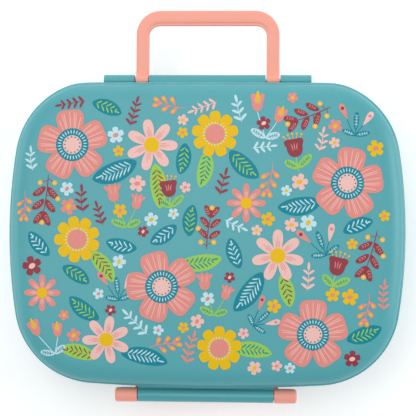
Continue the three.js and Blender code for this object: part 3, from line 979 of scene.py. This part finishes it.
# ---------------------------------------------------------------- print
# The lid is pad-printed with an all-over meadow of simple garden flowers, leaves and sprigs. Each ink is a
# thin opaque film that follows the dome: flowers lie over leaves, and fine lines and dots lie over both.
INKS = {
    "coral": (0.75, 0.27, 0.235, 1),
    "blush": (0.86, 0.53, 0.49, 1),
    "mustard": (0.80, 0.50, 0.0, 1),
    "maroon": (0.29, 0.042, 0.062, 1),
    "deep_teal": (0.0, 0.235, 0.305, 1),
    "lime": (0.30, 0.60, 0.09, 1),
    "pale_blue": (0.52, 0.76, 0.83, 1),
}
ink_meshes = {ink: bmesh.new() for ink in INKS}
film = 0.035
film_steps = 8
shape_count = 0


def film_shape(ink, layer, outline_points):
    """One flat patch of ink. Neighbours in a layer get slightly different heights, so no two coincide."""
    global shape_count
    shape_count += 1
    height = layer + 0.72 / film_steps * (shape_count % film_steps)
    bm = ink_meshes[ink]
    bm.faces.new([bm.verts.new((x, y, height)) for x, y in outline_points])


def step_out(centre, angle, distance):
    return (centre[0] + distance * math.cos(angle), centre[1] + distance * math.sin(angle))


def blade(ink, layer, start, angle, length, width, point=0.4, base=1.0, bend=0.0, steps=16):
    """A petal, leaf or stroke from its start outwards. point sharpens both ends, base narrows the near one,
    and bend bows it sideways."""
    places = []
    for step in range(steps):
        turn = 2 * math.pi * (step + 0.5) / steps
        share = (1 - math.cos(turn)) / 2
        across = math.copysign(abs(math.sin(turn)) ** (1 + point), math.sin(turn)) * width / 2
        across *= base + (1 - base) * share
        across += bend * 4 * share * (1 - share)
        places.append(step_out(step_out(start, angle, length * share), angle + math.pi / 2, across))
    film_shape(ink, layer, places)


def dot(ink, layer, centre, radius, steps=14, squash=1.0, turn=0.0):
    places = []
    for step in range(steps):
        angle = 2 * math.pi * step / steps
        along, across = radius * math.cos(angle), radius * squash * math.sin(angle)
        places.append(step_out(step_out(centre, turn, along), turn + math.pi / 2, across))
    film_shape(ink, layer, places)


taken = []


def claim(centre, radius):
    """Notes a disc that the small motifs keep clear of."""
    taken.append((centre[0], centre[1], radius))


def claim_path(start, angle, length, radius, shares=(0.15, 0.4, 0.65, 0.9)):
    for share in shares:
        claim(step_out(start, angle, length * share), radius)


def rings(angle, count):
    return [angle + 2 * math.pi * k / count for k in range(count)]


def blade_ring(ink, layer, centre, turn, count, gap, *shape, steps):
    """Equal blades round a centre, each starting a gap away from it."""
    for angle in rings(turn, count):
        blade(ink, layer, step_out(centre, angle, gap), angle, *shape, steps=steps)


def bloom(centre, radius, turn):
    """A big open flower: five broad striped petals round a dark eye with a pale fringe."""
    claim(centre, radius)
    offsets = (-0.42, -0.24, -0.17, 0.0, 0.2, 0.27, 0.44)
    reaches = (0.83, 0.92, 0.94, 0.96, 0.93, 0.92, 0.8)
    for angle in rings(turn, 5):
        root = step_out(centre, angle, radius * 0.22)
        blade("coral", 1, root, angle, radius * 0.78, radius * 0.92, -0.5, 0.66, steps=28)
        for offset, reach in zip(offsets, reaches):
            line_start = step_out(centre, angle + offset * 1.1, radius * 0.44)
            line_length = radius * (reach - 0.44)
            blade("blush", 2, line_start, angle + offset * 0.72, line_length, 0.4, -0.6, steps=12)
    dot("deep_teal", 2, centre, radius * 0.47, 36)
    blade_ring("pale_blue", 3, centre, turn, 28, radius * 0.31, radius * 0.12, 0.6, 0.0, steps=8)
    dot("blush", 3, centre, radius * 0.27, 26)
    for angle in rings(turn, 13):
        dot("deep_teal", 4, step_out(centre, angle, radius * 0.222), radius * 0.024, 8)


def daisy(centre, radius, turn, petals, petal_ink, eye_ink, line_ink):
    """A daisy with long petals, each with a few fine lines from the eye."""
    claim(centre, radius * 0.97)
    width = radius * 3.5 / petals
    for angle in rings(turn, petals):
        root = step_out(centre, angle, radius * 0.08)
        blade(petal_ink, 1, root, angle, radius * 0.92, width, -0.12, 0.55, steps=24)
        for offset in (-0.15, 0.0, 0.15):
            reach = radius * (0.3 if offset else 0.44)
            line_start = step_out(centre, angle + offset, radius * 0.3)
            blade(line_ink, 2, line_start, angle + offset * 0.6, reach, 0.32, -0.4, steps=8)
    dot(eye_ink, 3, centre, radius * 0.29, 24)


def sunflower(centre, radius, turn):
    """A round yellow flower with nine full petals and a broad eye with a pale fringe."""
    claim(centre, radius * 0.98)
    petal = (radius * 0.75, radius * 0.6, -0.32, 0.5)
    blade_ring("mustard", 1, centre, turn, 9, radius * 0.25, *petal, steps=22)
    dot("coral", 2, centre, radius * 0.42, 26)
    blade_ring("pale_blue", 3, centre, turn, 22, radius * 0.43, radius * 0.1, 0.6, 0.0, steps=8)


def small_flower(centre, radius, turn, petal_ink, eye_ink):
    claim(centre, radius)
    petal = (radius * 0.88, radius * 0.84, -0.35, 0.6)
    blade_ring(petal_ink, 1, centre, turn, 5, radius * 0.12, *petal, steps=18)
    dot(eye_ink, 2, centre, radius * 0.36, 14, 0.72, turn)


def leaf(start, angle, length, width, ink, vein_ink, bend):
    """A pointed leaf with paired side veins, drawn as bold strokes, and a stroke at its tip."""
    claim_path(start, angle, length, width * 0.55)
    blade(ink, -1, start, angle, length, width, 0.3, 1.0, bend, 26)
    pairs = max(4, round(length / 3.3))
    for pair in range(pairs):
        share = 0.14 + 0.62 * pair / (pairs - 1)
        reach = width * 0.46 * math.sin(math.pi * min(1, share + 0.14)) + 0.3
        aside = bend * 4 * share * (1 - share)
        root = step_out(step_out(start, angle, length * share), angle + math.pi / 2, aside)
        for side in (-1, 1):
            blade(vein_ink, 0, root, angle + side * 0.82, reach, 0.95, 0.0, 0.5, side * -0.15, 10)
    blade(vein_ink, 0, step_out(start, angle, length * 0.8), angle, length * 0.13, 0.8, 0.0, steps=10)


def small_leaf(start, angle, length, width, ink, vein_ink):
    """A round-ended leaf with a midrib and fine side veins."""
    claim_path(start, angle, length, width * 0.5, (0.3, 0.75))
    blade(ink, 0, start, angle, length, width, -0.05, 0.8, 0, 18)
    blade(vein_ink, 1, step_out(start, angle, length * 0.08), angle, length * 0.8, 0.26, -0.5, steps=8)
    for share in (0.25, 0.42, 0.59, 0.74):
        root = step_out(start, angle, length * share)
        for side in (-1, 1):
            blade(vein_ink, 1, root, angle + side * 0.8, width * 0.38, 0.3, 0, steps=8)


def sprig(start, angle, pairs, ink, leaf_length, bend):
    """A thin stem with pairs of small leaves and one at its tip."""
    length = pairs * leaf_length * 0.88
    claim_path(start, angle, length + leaf_length * 0.6, leaf_length * 0.72, (0.1, 0.36, 0.62, 0.88))
    blade(ink, 0, start, angle, length, 0.42, -0.6, 1.0, bend, 16)
    for pair in range(pairs):
        share = (pair + 0.3) / pairs
        aside = bend * 4 * share * (1 - share)
        root = step_out(step_out(start, angle, length * share), angle + math.pi / 2, aside)
        size = leaf_length * (1.08 - 0.25 * share)
        for side in (-1, 1):
            blade(ink, 1, root, angle + side * 0.9, size, size * 0.38, 0.05, 0.8, side * -0.25, 12)
    tip = step_out(start, angle, length * 0.95)
    blade(ink, 1, tip, angle, leaf_length * 1.05, leaf_length * 0.36, 0.1, steps=12)


def berry_branch(start, angle, length):
    """A dark branch with veined leaves and small round berries on stalks."""
    claim_path(start, angle, length * 1.3, length * 0.34, (0.25, 0.55, 0.85))
    blade("maroon", 0, start, angle, length, 0.55, -0.6, 1.0, 0.5, 16)
    for share, spread in ((0.3, 0.85), (0.62, 0.75), (0.92, 0.5)):
        root = step_out(start, angle, length * share)
        size = length * 0.4
        for side in (-1, 1):
            lean = angle + side * spread
            stalk_end = step_out(root, lean, length * 0.04)
            blade("maroon", 1, stalk_end, lean, size, size * 0.46, 0.15, 0.85, -0.4 * side, 20)
            for tick in (0.26, 0.44, 0.62):
                for slope in (-0.62, 0.62):
                    mark = step_out(stalk_end, lean, size * tick)
                    blade("coral", 2, mark, lean + slope, size * 0.18, 0.36, 0.0, steps=8)
    berries = ((0.1, 1.1, 0.22), (0.16, -1.15, 0.2), (0.52, 1.35, 0.34), (0.95, 0.0, 0.3))
    for share, spread, reach in berries:
        root = step_out(start, angle, length * share)
        berry = step_out(root, angle + spread, length * reach)
        stem("maroon", root, berry, 0, 0.34)
        dot("mustard", 2, berry, 1.4)
        dot("blush", 3, berry, 0.65, 10)


def tulip(centre, angle, size, heart_ink):
    """A coral cup with the stalk at its start: two petals round a heart, or four open at their tips."""
    claim(step_out(centre, angle, size * 0.5), size * 0.55)
    if heart_ink:
        heart = step_out(centre, angle, size * 0.4)
        blade(heart_ink, 2, heart, angle, size * 0.72, size * 0.2, 0.1, steps=12)
    leans, petal_width = ((-0.3, 0.3), 0.5) if heart_ink else ((-0.48, -0.17, 0.17, 0.48), 0.3)
    for lean in leans:
        bow = -lean * size * 0.3
        blade("coral", 1, centre, angle + lean, size, size * petal_width, -0.1, 0.8, bow, 18)
    front_length = size * (0.9 if heart_ink else 0.7)
    blade("coral", 1, centre, angle, front_length, size * 0.64, -0.2, 0.9, steps=18)
    for lean in (-0.22, 0.22):
        line_start = step_out(centre, angle + lean, size * 0.42)
        blade("blush", 2, line_start, angle + lean * 0.8, size * 0.4, 0.3, -0.3, steps=8)


def stem(ink, start, end, bend=0.0, width=0.5):
    delta = Vector(end) - Vector(start)
    blade(ink, 0, start, math.atan2(delta.y, delta.x), delta.length, width, -0.75, 1.0, bend, 16)


def tulip_pair(root, angle, size, heart_ink, stalk_ink):
    heads = (step_out(root, angle + 0.42, size * 1.5), step_out(root, angle - 0.5, size * 1.05))
    for head, lean, share in zip(heads, (0.1, -0.28), (1.0, 0.85)):
        stem(stalk_ink, root, head, 0.5 * lean)
        tulip(head, angle + lean, size * share, heart_ink)
    for lean, reach in ((1.15, 0.9), (-1.2, 0.8)):
        small_leaf(root, angle + lean, size * reach, size * 0.42, stalk_ink, "deep_teal")


def bud_spray(root, angle, size):
    """Two drop-shaped buds and three feathered leaves on dark stalks."""
    for lean, reach, ink, seed in ((0.5, 0.85, "coral", "maroon"), (-0.55, 0.6, "blush", "coral")):
        tip = step_out(root, angle + lean, size * reach)
        stem("deep_teal", root, tip, 0.4)
        claim_path(tip, angle + lean, size * 0.7, size * 0.2, (0.2, 0.8))
        blade(ink, 1, tip, angle + lean, size * 0.75, size * 0.38, -0.15, 0.2, steps=20)
        dot(seed, 2, step_out(tip, angle + lean, size * 0.53), size * 0.075, 12)
    for lean, reach in ((0.0, 0.8), (1.25, 0.62), (-1.3, 0.66)):
        leaf_root = step_out(root, angle, size * (0.05 if lean else 0.3))
        small_leaf(leaf_root, angle + lean, size * reach, size * 0.27, "deep_teal", "pale_blue")
    stem("deep_teal", root, step_out(root, angle, size * 0.4))


def drop_sprig(root, angle, size):
    """A coral stalk with seed-like drops, each with a yellow heart."""
    claim_path(root, angle, size * 1.3, size * 0.36, (0.35, 0.6, 0.85))
    stem("coral", root, step_out(root, angle, size), 0.6, 0.4)
    for share, lean in ((0.3, 0.95), (0.42, -0.9), (0.64, 0.8), (0.76, -0.8), (0.98, 0.42), (1.0, -0.4)):
        place = step_out(root, angle, size * share)
        blade("coral", 1, place, angle + lean, size * 0.43, size * 0.26, -0.2, 0.25, steps=18)
        heart = step_out(place, angle + lean, size * 0.22)
        blade("mustard", 2, heart, angle + lean, size * 0.15, size * 0.12, -0.1, steps=12)


def poppy(root, angle, size):
    """A dark half-open cup with yellow stamens on a leafy green stalk."""
    head = step_out(root, angle, size * 0.8)
    stem("lime", root, head, 0.3, 0.7)
    claim(step_out(head, angle, size * 0.55), size * 0.6)
    for lean in (-0.42, 0.42):
        bow = -lean * size * 0.3
        blade("maroon", 1, head, angle + lean, size * 1.05, size * 0.62, -0.15, 0.8, bow, 20)
    blade("maroon", 1, head, angle, size * 0.98, size * 0.9, -0.3, 0.9, steps=20)
    for lean in (-0.4, -0.2, 0.0, 0.2, 0.4):
        tip = step_out(head, angle + lean, size * 1.25)
        stem("mustard", step_out(head, angle + lean * 0.7, size * 0.82), tip, 0, 0.34)
        dot("mustard", 2, tip, size * 0.065, 8)
    for lean in (-0.34, 0.0, 0.34):
        line_start = step_out(head, angle + lean, size * 0.36)
        blade("coral", 2, line_start, angle + lean * 0.5, size * 0.4, 0.5, 0.1, 1.0, -lean, 10)
    leaf_root = step_out(root, angle, size * 0.2)
    for lean, reach in ((-0.95, 1.0), (0.95, 0.8)):
        small_leaf(leaf_root, angle + lean, size * reach, size * 0.46, "lime", "deep_teal")


# Large flowers with the leaves under them, then the sprays between them. Angles are anticlockwise from +X.
up = math.pi / 2
for root, angle, length, width, ink, vein_ink, bend in (
    ((-37, 38), -2.75, 25.7, 11.1, "deep_teal", "pale_blue", 1),
    ((-27, 37), -1.45, 24.4, 9, "lime", "maroon", 0.6),
    ((13, 44), -0.75, 21.1, 9.9, "deep_teal", "lime", -1),
    ((1, 44), -1.75, 20.1, 8.5, "lime", "deep_teal", 0.8),
    ((62, 17), -3.0, 23.4, 9.9, "deep_teal", "pale_blue", 1),
    ((-14, -17), 0.15, 23.3, 9, "lime", "deep_teal", -1),
    ((31, -21), -2.2, 25.7, 10.5, "deep_teal", "pale_blue", 1),
    ((41, -22), -1.3, 18, 8, "lime", "maroon", 0.6),
    ((-57, -47), 2.5, 19.9, 8.8, "deep_teal", "lime", 1),
    ((-45, -65), -0.2, 25.7, 9.4, "deep_teal", "pale_blue", 1),
    ((-58, -68), 2.9, 21.2, 8, "lime", "maroon", -1),
    ((-62, -10), -0.9, 21.2, 8.5, "lime", "maroon", 1),
    ((76, -57), 0.35, 19.9, 8.8, "deep_teal", "lime", -0.6),
    ((14, -62), -0.12, 22.3, 8.5, "lime", "deep_teal", 1),
):
    leaf(root, angle, length, width, ink, vein_ink, bend)
for centre, radius, turn in (
    ((-72, 47), 19, up + 0.1),
    ((76, 27), 19, up - 0.15),
    ((-23, -29), 19, up + 0.3),
    ((58, -54), 18.5, up),
):
    bloom(centre, radius, turn)
for centre, radius, turn in (((-29, 47), 14, up + 0.2), ((39, -12), 14, up), ((-53, -58), 13, up - 0.2)):
    daisy(centre, radius, turn, 7, "blush", "mustard", "coral")
for centre, radius, turn in (((5, 53), 12.5, up), ((-69, -4), 12.5, up + 0.2), ((8, -62), 12, up)):
    sunflower(centre, radius, turn)
for centre, radius in (((-88, -33), 10), ((22, 16), 10.5)):
    daisy(centre, radius, up, 8, "coral", "mustard", "blush")
for root, angle, length in (
    ((-85, 31), -1.7, 21),
    ((67, 68), -2.75, 20),
    ((92, 2), -1.85, 21),
    ((1, -9), 1.45, 18),
):
    berry_branch(root, angle, length)
for root, angle, size, heart_ink, stalk_ink in (
    ((32, 51), 1.45, 10, "mustard", "pale_blue"),
    ((-42, 3), 1.62, 10, None, "lime"),
    ((5, -44), 1.5, 9.5, None, "lime"),
    ((-81, -66), 1.9, 9, "mustard", "pale_blue"),
):
    tulip_pair(root, angle, size, heart_ink, stalk_ink)
for root, angle, size in (
    ((50, 33), 1.75, 10),
    ((68, -30), 1.35, 10),
    ((-18, 12), 1.7, 9),
):
    poppy(root, angle, size)
for root, angle, size in (
    ((65, -12), 1.95, 13),
    ((-46, -37), 1.7, 12),
    ((26, -50), 0.75, 11),
    ((80, 52), 1.5, 12),
):
    bud_spray(root, angle, size)
for root, angle, size in (
    ((-11, 67), 2.95, 13),
    ((36, 38), -1.75, 14),
    ((88, -32), -1.75, 13),
    ((-30, -62), 0.2, 13),
    ((-98, 22), -1.6, 12),
):
    drop_sprig(root, angle, size)

# Sprigs and little flowers fill what is left, wherever they fit clear of the rest.
filler = random.Random(11)
print_half_x = 101.5
print_half_y = 76.5
print_corner = (60, 38)
corner_reach = 39.5


def printable(centre, radius):
    """True if a disc lies inside the print's margin and clear of what is already there."""
    x, y = abs(centre[0]), abs(centre[1])
    if y > print_half_y - radius or x > print_half_x - radius:
        return False
    if math.hypot(max(0, x - print_corner[0]), max(0, y - print_corner[1])) > corner_reach - radius:
        return False
    gaps = ((math.hypot(centre[0] - px, centre[1] - py), r) for px, py, r in taken)
    return all(gap > radius + r for gap, r in gaps)


def printable_along(start, angle, length, radius, shares):
    return all(printable(step_out(start, angle, length * share), radius) for share in shares)


leaf_veins = ("pale_blue", "lime")
leaf_limit = 9
leaf_length = 17
leaf_count = 0
for attempt in range(6000):
    start = (filler.uniform(-96, 96), filler.uniform(-72, 72))
    angle = filler.uniform(0, 2 * math.pi)
    if leaf_count < leaf_limit and printable_along(start, angle, leaf_length, 4.1, (0.1, 0.36, 0.64, 0.9)):
        leaf(start, angle, leaf_length, 8, "deep_teal", leaf_veins[leaf_count % 2], 0.6)
        leaf_count += 1

sprig_inks = ("maroon", "pale_blue", "blush", "coral", "pale_blue", "maroon")
placed = 0
for attempt in range(9000):
    start = (filler.uniform(-100, 100), filler.uniform(-76, 76))
    angle = filler.choice((up, up, filler.uniform(0, 2 * math.pi))) + filler.uniform(-0.4, 0.4)
    pairs = filler.choice((4, 4, 3))
    size = filler.choice((5.0, 4.4)) if attempt < 5000 else 3.9
    reach = pairs * size * 0.88 + size
    bend = filler.uniform(-0.9, 0.9)
    if printable_along(start, angle, reach, size * 0.7, (0.08, 0.36, 0.64, 0.9)):
        sprig(start, angle, pairs, sprig_inks[placed % len(sprig_inks)], size, bend)
        placed += 1

flower_inks = (
    ("pale_blue", "coral"),
    ("mustard", "coral"),
    ("blush", "mustard"),
    ("mustard", "coral"),
    ("pale_blue", "mustard"),
    ("coral", "mustard"),
    ("blush", "coral"),
    ("maroon", "blush"),
)
for radius in (6.6, 5.4, 4.5, 3.8, 3.0):
    for attempt in range(2200):
        centre = (filler.uniform(-100, 100), filler.uniform(-76, 76))
        turn = filler.uniform(0, 1.3)
        if printable(centre, radius + 0.2):
            small_flower(centre, radius, turn, *flower_inks[placed % len(flower_inks)])
            placed += 1


def printed_ink(name, colour):
    """Pad-print ink: flat colour with a faint mottle, a little glossier than the moulding."""
    finish = Finish(name, IOR=1.48, Specular_IOR_Level=0.22)
    mottle = finish.noise(700, 3)
    finish.set("Base Color", finish.blend(mottle, shade(colour, 0.94), shade(colour, 1.06)))
    finish.set("Roughness", 0.36 + mottle * 0.1)
    finish.relief(mottle, 0.15, 0.00001)
    return finish.material


def lay_on_lid(bm):
    """Cuts the flat shapes fine enough to bend, and drops them onto the dome as thin closed films."""
    sunk = -0.15
    for limit in (6, 3, 1.8):
        bmesh.ops.triangulate(bm, faces=bm.faces)
        long_edges = [e for e in bm.edges if e.calc_length() > limit]
        bmesh.ops.subdivide_edges(bm, edges=long_edges, cuts=1)
    bmesh.ops.triangulate(bm, faces=bm.faces)
    top = bmesh.ops.extrude_face_region(bm, geom=bm.faces[:])["geom"]
    raised = set(verts_of(top))
    for vert in bm.verts:
        overhead = Vector((vert.co.x, vert.co.y, 200))
        spot, normal, _, _ = lid_surface.ray_cast(overhead, Vector((0, 0, -1)))
        height = film * (2 + vert.co.z) if vert in raised else sunk
        vert.co = spot + normal * height


for ink, colour in INKS.items():
    lay_on_lid(ink_meshes[ink])
    ink_finish = printed_ink(f"ink_{ink}", colour)
    finish_piece(ink_meshes[ink], f"print_{ink}", "lid", [], ink_finish)
